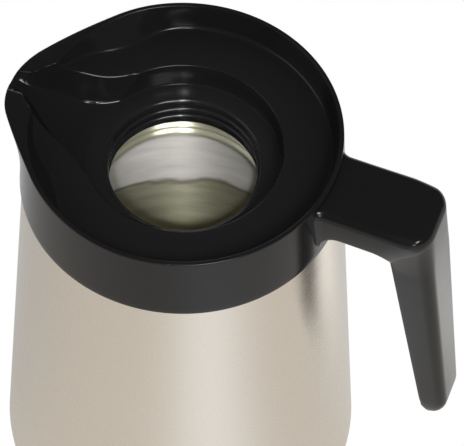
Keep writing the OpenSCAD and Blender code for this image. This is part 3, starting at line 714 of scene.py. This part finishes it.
handle = skin("handle", handle_rings())
cut(handle, cone("root", SKIRT_R + 0.1, RIM_R + 0.1, SKIRT_Z, RIM_Z))
TONGUE_Z, TONGUE_T, TONGUE_HALF = RIM_Z - 20.2, 4.0, 12.0
tongue = skin("tongue", [[(x, y, z) for y, z in ((-TONGUE_HALF, TONGUE_Z), (TONGUE_HALF, TONGUE_Z),
                                                 (TONGUE_HALF, TONGUE_Z + TONGUE_T),
                                                 (-TONGUE_HALF, TONGUE_Z + TONGUE_T))]
                         for x in (49.5, RIM_R + 9)])
cut(handle, tongue, "UNION")
strip_low, strip_high = HANDLE_END_Z + 6, inner_from[1]
cut(handle, slab("seat", strip_low - 0.15, strip_high + 0.15, -4, 1.8, 20))
smooth(handle, 32)
dress(handle, gloss)
settle(handle, "carafe", "plastic_gloss", "handle_shell")

strip = skin("grip_strip", handle_rings(0.35))
cut(strip, slab("strip_form", strip_low, strip_high, -4, 1.75, 20), "INTERSECT")
smooth(strip, 32)
dress(strip, matt)
settle(strip, "carafe", "plastic_matt", "handle_cover")

# %% [markdown]
# ## Steel body and flask
# Both steel walls are spun from sheet, so each is a path that is given a thickness and revolved.
# The flask's neck has rolled beads under the threaded mouth: they stiffen it, and they are the
# bright rings that the mouth shows.

# %% Sheet-metal walls
def sheet_path(path, thickness):
    """Closes an open path into a wall, with the second face to its left."""
    line = np.array(path)
    along = np.gradient(line, axis=0)
    along /= np.linalg.norm(along, axis=1)[:, None]
    other = line + thickness * np.stack((-along[:, 1], along[:, 0]), axis=1)
    other[:, 0] = np.maximum(other[:, 0], 0)
    if line[0][0] == 0:
        other[0] = (0, line[0][1] + thickness)
    return [tuple(p) for p in line] + [tuple(p) for p in other[::-1]]


STEEL_FOOT_R, STEEL_FOOT_Z, STEEL_TOP_R, STEEL_TOP_Z = 80, 3, SKIRT_R - 1.1, SKIRT_Z - 0.2
STEP_R, ROOF_Z, SLEEVE_R, SLEEVE_TOP_Z, SHELL_T = 62.05, 187.9, 35.8, 194.8, 0.8


def body_r(z):
    """Radius of the outer shell's cone at a height."""
    return STEEL_FOOT_R + (STEEL_TOP_R - STEEL_FOOT_R) * (z - STEEL_FOOT_Z) / (STEEL_TOP_Z - STEEL_FOOT_Z)


shell_path = soft_path([
    (74.0, STEEL_FOOT_Z, 0), (STEEL_FOOT_R, STEEL_FOOT_Z, 3.2), (body_r(60), 60, 0), (body_r(130), 130, 0),
    (STEEL_TOP_R, STEEL_TOP_Z, 0.5), (STEP_R, STEEL_TOP_Z, 0.3), (STEP_R, SKIRT_Z + 2.2, 1),
    (50, ROOF_Z, 2.5), (SLEEVE_R, ROOF_Z, 1.5), (SLEEVE_R, SLEEVE_TOP_Z, 0)], 6)
shell = spin("steel_body", sheet_path(shell_path, SHELL_T), 256)
smooth(shell, 32)
dress(shell, outer_steel)
settle(shell, "carafe", "steel_brushed", "outer_shell")

# %% The flask and the beads in its neck
NECK_R, NECK_TOP_Z, NECK_LIP_R, WALL_GAP, FLASK_T = 34.3, 195.5, 38.4, 5.9, 0.7
BEADS_LOW_Z, BEADS_HIGH_Z, BEAD_PITCH, BEAD_HALF_DEPTH = 173.0, 185.3, 4.1, 0.7
beads = [(NECK_R + BEAD_HALF_DEPTH * (1 - math.cos(2 * math.pi * (z - BEADS_LOW_Z) / BEAD_PITCH)), z)
         for z in np.linspace(BEADS_LOW_Z, BEADS_HIGH_Z, 49)]
flask_path = soft_path([
    (0, 9, 0), (40, 9, 0), (body_r(9) - WALL_GAP, 9, 9), (body_r(80) - WALL_GAP, 80, 0),
    (body_r(165) - WALL_GAP, 165, 8), (NECK_R, 172, 0)], 8)
flask_path += beads + [(NECK_R, 190), (NECK_R, NECK_TOP_Z - 0.4), (NECK_R + 0.4, NECK_TOP_Z)]
flask_path.append((NECK_LIP_R, NECK_TOP_Z))
flask = spin("steel_flask", sheet_path(flask_path, -FLASK_T), 256)
smooth(flask, 40)
dress(flask, bright_steel)
settle(flask, "carafe", "steel_bright", "inner_liner")

# %% [markdown]
# ## The threaded mouth
# A black insert lines the steel neck and carries about two turns of a coarse thread. The insert is
# revolved. The thread follows a path, so Geometry Nodes sweep a round ridge along a spiral, and
# thin it out at both ends as a moulded thread does.

# %% A spiral ridge in Geometry Nodes
def node_group(name, sizes):
    """Starts a Geometry Nodes tree with named number inputs."""
    group = bpy.data.node_groups.new(name, "GeometryNodeTree")
    group.interface.new_socket("Geometry", in_out="INPUT", socket_type="NodeSocketGeometry")
    group.interface.new_socket("Geometry", in_out="OUTPUT", socket_type="NodeSocketGeometry")
    for size, start in sizes.items():
        group.interface.new_socket(size, in_out="INPUT", socket_type="NodeSocketFloat").default_value = start
    tree = Tree(group)
    return tree, tree.node("NodeGroupInput"), tree.node("NodeGroupOutput")


def grown(name, tree, finish, mesh=None, **sizes):
    """Runs a tree on an object and keeps the result as a plain mesh."""
    piece = new_object(name, mesh or bpy.data.meshes.new(name))
    step = piece.modifiers.new("grow", "NODES")
    step.node_group = tree.tree
    for item in tree.tree.interface.items_tree:
        if item.in_out == "INPUT" and item.name in sizes:
            step[item.identifier] = sizes[item.name]
    baked(piece)
    return dress(outward(piece), finish)


def finish_tree(tree, last, sink, finish):
    """Ends a tree as the export needs it: real geometry that carries its material."""
    real = tree.add("GeometryNodeRealizeInstances", {}, {"Geometry": last})
    clad = tree.add("GeometryNodeSetMaterial", {}, {"Geometry": real, "Material": finish.material})
    tree.put(sink.inputs[0], clad)


def thread_tree(finish):
    sizes = {"Radius": 0.03, "Pitch": 0.007, "Turns": 2.0, "Ridge": 0.0012, "Base": 0.0}
    tree, given, sink = node_group("thread_" + finish.material.name, sizes)
    size = {s.name: Socket(tree, s) for s in given.outputs if s.name}
    spiral = tree.add("GeometryNodeCurveSpiral", {}, {
        "Resolution": 96, "Rotations": size["Turns"], "Start Radius": size["Radius"],
        "End Radius": size["Radius"], "Height": size["Pitch"] * size["Turns"]})
    share = tree.add("GeometryNodeSplineParameter", {}, {}, "Factor")
    start = (share * 9.0).clamp()
    stop = ((1 - share) * 9.0).clamp()
    thickness = start * stop * 0.85 + 0.15
    thinned = tree.add("GeometryNodeSetCurveRadius", {}, {"Curve": spiral, "Radius": thickness})
    ridge = tree.add("GeometryNodeCurvePrimitiveCircle", {}, {"Resolution": 14, "Radius": size["Ridge"]})
    swept = tree.add("GeometryNodeCurveToMesh", {}, {
        "Curve": thinned, "Profile Curve": ridge, "Fill Caps": True})
    height = tree.add("ShaderNodeCombineXYZ", {}, {"Z": size["Base"]})
    placed = tree.add("GeometryNodeTransform", {}, {"Geometry": swept, "Translation": height})
    finish_tree(tree, placed, sink, finish)
    return tree


# %% The mouth's insert and its thread
INSERT_OUT_R, INSERT_FLANGE_R, BORE_ROUND, RIDGE_R = BORE_R + 2.6, 39.28, 2.2, 1.2
insert_path = soft_path([
    (BORE_R, BORE_END_Z + 0.8, 0), (BORE_R + 0.8, BORE_END_Z, 0.3), (INSERT_OUT_R, BORE_END_Z, 0.3),
    (INSERT_OUT_R, SEAT_Z, 0), (INSERT_FLANGE_R, SEAT_Z, 0.2), (INSERT_FLANGE_R, LEDGE_Z, 0.05),
    (BORE_R, LEDGE_Z, BORE_ROUND), (BORE_R, 193, 0)], 8)
insert = spin("threaded_mouth", insert_path, 240)
smooth(insert, 32)
dress(insert, semi)
settle(insert, "carafe", "plastic_black", "neck_insert")

mouth_thread = grown("mouth_thread", thread_tree(semi), semi, Radius=(BORE_R + 0.1) * MM, Pitch=4.6 * MM,
                     Turns=2.5, Ridge=RIDGE_R * MM, Base=(LEDGE_Z - 12.85) * MM)
smooth(mouth_thread, 50)
settle(mouth_thread, "carafe", "plastic_black")

# %% [markdown]
# ## Screws
# Four screws pull the clamp to the collar and two hold the handle's tongue. All have a pan head
# with a cross slot. One screw is modelled, and a small tree sets a copy of it on each of the points
# it is given, because equal screws are one part used many times.

# %% One screw, and copies of it on points
def screw_mesh(name, length, radius=1.5, head_r=2.9, head_h=1.9, pitch=0.9):
    """A screw in millimetres that points up from the underside of its head at z = 0."""
    path = [(0, -head_h), (head_r * 0.55, -head_h + 0.06), (head_r * 0.85, -head_h + 0.4)]
    path += [(head_r, -head_h + 1.0), (head_r, -0.25), (head_r - 0.2, 0), (radius, 0)]
    z = 0.5
    while z < length - 1.6:
        path += [(radius, z), (radius - 0.28, z + pitch / 2)]
        z += pitch
    path += [(radius - 0.2, length - 1.2), (0, length)]
    turned = spin(name, path, 28)
    for turn in (0, 90):
        c, s = math.cos(math.radians(turn)), math.sin(math.radians(turn))
        wide = [(-1.7, -0.32), (1.7, -0.32), (1.7, 0.32), (-1.7, 0.32)]
        rings = []
        for z, shrink in ((-head_h - 0.5, 1.0), (-head_h + 0.9, 0.6)):
            rings.append([(x * shrink * c - y * s, x * shrink * s + y * c, z) for x, y in wide])
        cut(turned, skin("slot", rings))
    return turned


def copies_tree(name, master, finish):
    """Sets a copy of one object on every point of the mesh that the tree runs on."""
    tree, given, sink = node_group(name, {"Scale": 1.0})
    points = tree.add("GeometryNodeMeshToPoints", {}, {"Mesh": Socket(tree, given.outputs[0])})
    shape = tree.add("GeometryNodeObjectInfo", {"transform_space": "ORIGINAL"},
                     {"Object": master}, "Geometry")
    copies = tree.add("GeometryNodeInstanceOnPoints", {}, {
        "Points": points, "Instance": shape, "Scale": Socket(tree, given.outputs["Scale"])})
    finish_tree(tree, copies, sink, finish)
    return tree


def point_mesh(name, points):
    mesh = bpy.data.meshes.new(name)
    mesh.from_pydata([tuple(c * MM for c in p) for p in points], [], [])
    return mesh


def screws(name, length, points, *replaced):
    master = screw_mesh(name + "_one", length)
    placed = grown(name, copies_tree(name + "_copies", master, screw_steel), screw_steel,
                   point_mesh(name + "_points", points), Scale=1.0)
    bpy.data.objects.remove(master)
    smooth(placed, 30)
    settle(placed, "carafe", "steel_screw", *replaced)


def on_circle(radius, degrees, z, x=0, y=0):
    return x + radius * math.cos(math.radians(degrees)), y + radius * math.sin(math.radians(degrees)), z


CLAMP_SCREW_R, CLAMP_UNDER_Z = 47, 191.0
clamp_at = [on_circle(CLAMP_SCREW_R, a, CLAMP_UNDER_Z) for a in (50, 130, 230, 310)]
screws("clamp_screw_set", 10.8, clamp_at, "clamp_screws")
screws("handle_screw_set", 6.4, [(54, -7, TONGUE_Z), (54, 7, TONGUE_Z)], "handle_screws")

# %% [markdown]
# ## The lid behind the carafe
# The lid is a flange with a well, a hollow threaded plug below it and a cap that flips up. Its
# flat faces and bores are right in the solids, but a moulding has no razor edges. A copy of each
# solid gets its loose triangles merged and its edges bevelled, and stands for the solid.

# %% Soft-edged copies of solids
def softened(name, node, width, degrees=30):
    mesh = nodes[node].data.copy()
    piece = new_object(name, mesh)
    work = bmesh.new()
    work.from_mesh(mesh)
    bmesh.ops.remove_doubles(work, verts=work.verts, dist=3e-6)
    bmesh.ops.dissolve_limit(work, angle_limit=math.radians(1.5), verts=work.verts, edges=work.edges)
    bmesh.ops.recalc_face_normals(work, faces=work.faces)
    work.to_mesh(mesh)
    work.free()
    step = piece.modifiers.new("soft_edges", "BEVEL")
    step.limit_method, step.angle_limit = "ANGLE", math.radians(degrees)
    step.width, step.segments = width * MM, 3
    return smooth(baked(piece), 35)


lid_top = softened("lid_flange", "lid_top", 0.6)
dress(lid_top, gloss)
settle(lid_top, "lid", "plastic_gloss", "lid_top")

cap = softened("lid_cap", "flip_cap", 0.5)
dress(cap, gloss)
settle(cap, "cap", "plastic_gloss", "flip_cap")

# %% [markdown]
# The plug is a hollow cup that screws into the mouth. A groove near its lower end holds the seal,
# and a tube up the middle lets the drink through to the cap. It is revolved like the mouth, and the
# thread's tree runs once more with other sizes.

# %% The lid's plug and its thread
LID_X, LID_Y, PLUG_LEN, PLUG_R, POUR_R = -43.0, 121.0, 16.0, 29.9, 13.0
PLUG_CORE_R = PLUG_R - 1.2


def set_at(piece, x, y):
    """Moves a piece's mesh, so that its object can stay at the origin."""
    piece.data.transform(Matrix.Translation((x * MM, y * MM, 0)))
    return piece


plug_path = soft_path([
    (POUR_R, 0, 0.4), (PLUG_R - 1, 0, 0.6), (PLUG_R, 1, 0), (PLUG_R, 1.6, 0), (PLUG_R - 1.9, 2.1, 0),
    (PLUG_R - 1.9, 4.7, 0), (PLUG_R, 5.2, 0.2), (PLUG_R, 6.2, 0.4), (PLUG_CORE_R, 6.6, 0.3),
    (PLUG_CORE_R, PLUG_LEN, 0), (PLUG_R - 2.2, PLUG_LEN, 0), (PLUG_R - 4.2, 2.2, 0.5),
    (POUR_R + 2.2, 2.2, 0.5), (POUR_R + 2.2, PLUG_LEN, 0), (POUR_R, PLUG_LEN, 0)])
plug = smooth(set_at(spin("lid_plug_form", plug_path, 200), LID_X, LID_Y), 32)
dress(plug, semi)
settle(plug, "lid", "plastic_black", "lid_plug")

plug_thread = grown("plug_thread", thread_tree(semi), semi, Radius=(PLUG_CORE_R - 0.05) * MM, Pitch=4.4 * MM,
                    Turns=1.6, Ridge=RIDGE_R * MM, Base=8.0 * MM)
smooth(set_at(plug_thread, LID_X, LID_Y), 50)
settle(plug_thread, "lid", "plastic_black")

# %% [markdown]
# Two lugs stand out from the flange for the fingers that turn the lid, and ribs keep the fingers
# from slipping. One rib is a short rounded pin, and the tree that copied the screws copies it.

# %% Ribs for the fingers on the lid's lugs
def rib_mesh(name, length, radius):
    """A short round-ended rib that stands up."""
    half = length / 2
    path = [(0, -half)] + [(radius * math.sin(a), -half + radius - radius * math.cos(a))
                           for a in np.radians((25, 50, 75, 90))]
    path += [(r, -z) for r, z in path[::-1]]
    return spin(name, path, 12)


def ribs(name, body, points, master):
    placed = grown(name, copies_tree(name + "_copies", master, gloss), gloss,
                   point_mesh(name + "_points", points), Scale=1.0)
    bpy.data.objects.remove(master)
    smooth(placed, 50)
    settle(placed, body, "plastic_gloss")


RIB_RING_R, RIB_MID_Z = 36.1, 30.2
around = [side + a for side in (90, 270) for a in np.linspace(-17, 17, 9)]
ribs("lug_ribs", "lid", [on_circle(RIB_RING_R, a, RIB_MID_Z, LID_X, LID_Y) for a in around],
     rib_mesh("rib", 6.4, 0.75))

# %% [markdown]
# The other parts are plain turned, pressed or cut shapes, and most of them are hidden. Their solids
# are already right, so they stay and only get a finish.

# %% Small parts that keep the solids' shapes
kept_solids = {
    "shell_base": plain_steel, "vacuum_plug": screw_steel, "getter": powder, "base_pad": rubber,
    "neck_gasket": silicone, "clamp_halves": grey, "plug_seal": silicone, "cap_seal": silicone,
    "hinge_pin": screw_steel}
for node, finish in kept_solids.items():
    dress(nodes[node], finish)
print("solids dressed where they are:", len(kept_solids))

# %% [markdown]
# ## Floor, background and light
# The carafe stands on a pale floor in front of white. White comes from what the camera and the
# reflections see, not from stronger lamps. High up the studio is dark, as the black plastic shows:
# its flat top is nearly black, and its upright sides mirror the white floor. The floor's glow that
# reflections see is painted light: a painted brighter pool in front, a painted duller stretch to the
# left, a painted bright patch behind the handle and a painted warm tint away from the pool. These
# give the steel its soft vertical bands and the grip its pale back.

# %% Floor
def rays(tree):
    """Two sockets: 1 for rays from the camera, and 1 for rays that a shiny surface sends on."""
    path = tree.node("ShaderNodeLightPath")
    glossy, through = (Socket(tree, path.outputs[f"Is {kind} Ray"]) for kind in ("Glossy", "Transmission"))
    return Socket(tree, path.outputs["Is Camera Ray"]), (glossy + through).clamp()


FLOOR_HALF, FLOOR_LEVEL = 3000, -0.3
floor = skin("floor", [[(-FLOOR_HALF, y, FLOOR_LEVEL), (FLOOR_HALF, y, FLOOR_LEVEL)]
                       for y in (-FLOOR_HALF, FLOOR_HALF)], caps=False)
pale = Finish("pale_floor", (0.86, 0.86, 0.86), roughness=0.9)
camera_ray, mirror_ray = rays(pale)
place = pale.node("ShaderNodeSeparateXYZ", {}, {"Vector": pale.place})
across, along = Socket(pale, place.outputs["X"]), Socket(pale, place.outputs["Y"])
bearing = across.sum("ARCTAN2", across, 0 - along)
# Bearings are measured about the carafe, from the camera's side of it toward the handle
# Painted light in the floor's glow for reflections: a painted pool of light in front, a painted dim stretch
# to the left and a painted bright patch behind the handle
pool = ((bearing - math.radians(38)) / math.radians(22)).bell()
painted_dim = ((bearing + math.radians(85)) / math.radians(40)).bell()
PATCH_X, PATCH_Y, PATCH_SHARP = 0.21, 0.10, 20
patch = ((across - PATCH_X) * PATCH_SHARP).bell() * ((along - PATCH_Y) * PATCH_SHARP).bell()
shine = camera_ray + mirror_ray * (0.87 + pool * 0.27 - painted_dim * 0.16 + patch * 0.9)
# Painted reflection colour: the floor that reflections see is painted warm, and white in the pool and far
# round
far_round = (bearing - math.radians(20)).absolute()
neutral = (pool + ((far_round - 1.3) * 1.3).clamp() + camera_ray).clamp()
painted_tint = pale.blend(neutral, (1.0, 0.955, 0.88), (1.0, 1.0, 1.0))
glow = pale.add("ShaderNodeEmission", {}, {"Color": painted_tint, "Strength": shine}, "Emission")
lit = Socket(pale, pale.surface.outputs[0])
share = camera_ray * 0.997 + mirror_ray * 0.85
mixed = pale.add("ShaderNodeMixShader", {}, {0: share, 1: lit, 2: glow})
pale.tree.links.new(mixed.socket, pale.tree.nodes["Material Output"].inputs["Surface"])
dress(floor, pale)

# %% [markdown]
# The world is white for the camera, a dark sky with a thin pale horizon for reflections, and an
# even grey for everything that is lit softly. Four broad lamps and one narrow beam light the
# object. The beam goes straight down the mouth, so that the flask shows its inside.

# %% World
world = bpy.data.worlds.new("studio")
world.use_nodes = True
bpy.context.scene.world = world
sky = Tree(world.node_tree)
way = sky.add("ShaderNodeTexCoord", {}, {}, "Generated")
rise = sky.add("ShaderNodeSeparateXYZ", {}, {"Vector": way}, "Z")
SKY_STOPS = [(0.0, (0.9, 0.9, 0.92)), (0.05, (0.22, 0.22, 0.23)),
             (0.2, (0.08, 0.08, 0.09)), (1.0, (0.04, 0.04, 0.045))]
ramp = sky.add("ShaderNodeValToRGB", {"stops": SKY_STOPS}, {"Fac": rise.clamp()}, "Color")
camera_ray, mirror_ray = rays(sky)
glossy_or_soft = sky.blend(mirror_ray, (0.45, 0.45, 0.46), ramp)
seen = sky.blend(camera_ray, glossy_or_soft, (1, 1, 1))
sky.put(world.node_tree.nodes["Background"].inputs["Color"], seen)
print("world:", world.name, "with", len(SKY_STOPS), "stops from horizon to zenith")


# %% Lamps
def lamp(name, kind, place, target, power):
    light = bpy.data.lights.new(name, kind)
    light.energy = power
    holder = new_object(name, light)
    holder.location = place
    holder.rotation_euler = (Vector(target) - Vector(place)).to_track_quat("-Z", "Y").to_euler()
    return light


def panel(name, place, target, size, power):
    light = lamp(name, "AREA", place, target, power)
    light.shape, light.size, light.size_y = "RECTANGLE", size[0], size[1]


panel("key", (0.75, -0.78, 1.42), (0, 0, 0.2), (0.42, 0.42), 15)
panel("front", (0.7, -1.31, 0.8), (0, 0, 0.15), (0.45, 0.25), 4)
panel("left", (-1.5, -0.7, 1.3), (0, 0, 0.15), (1.3, 1.3), 5)
panel("rear", (-0.9, 1.5, 0.7), (0, 0, 0.15), (0.8, 0.5), 4)
beam = lamp("mouth", "SPOT", (0.31, -0.79, 1.43), (0, 0.01, 0.19), 90)
beam.spot_size, beam.spot_blend, beam.shadow_soft_size = math.radians(2.9), 0.35, 0.03
print("lamps:", len(bpy.data.lights))
bpy.context.scene.view_settings.view_transform = "Standard"
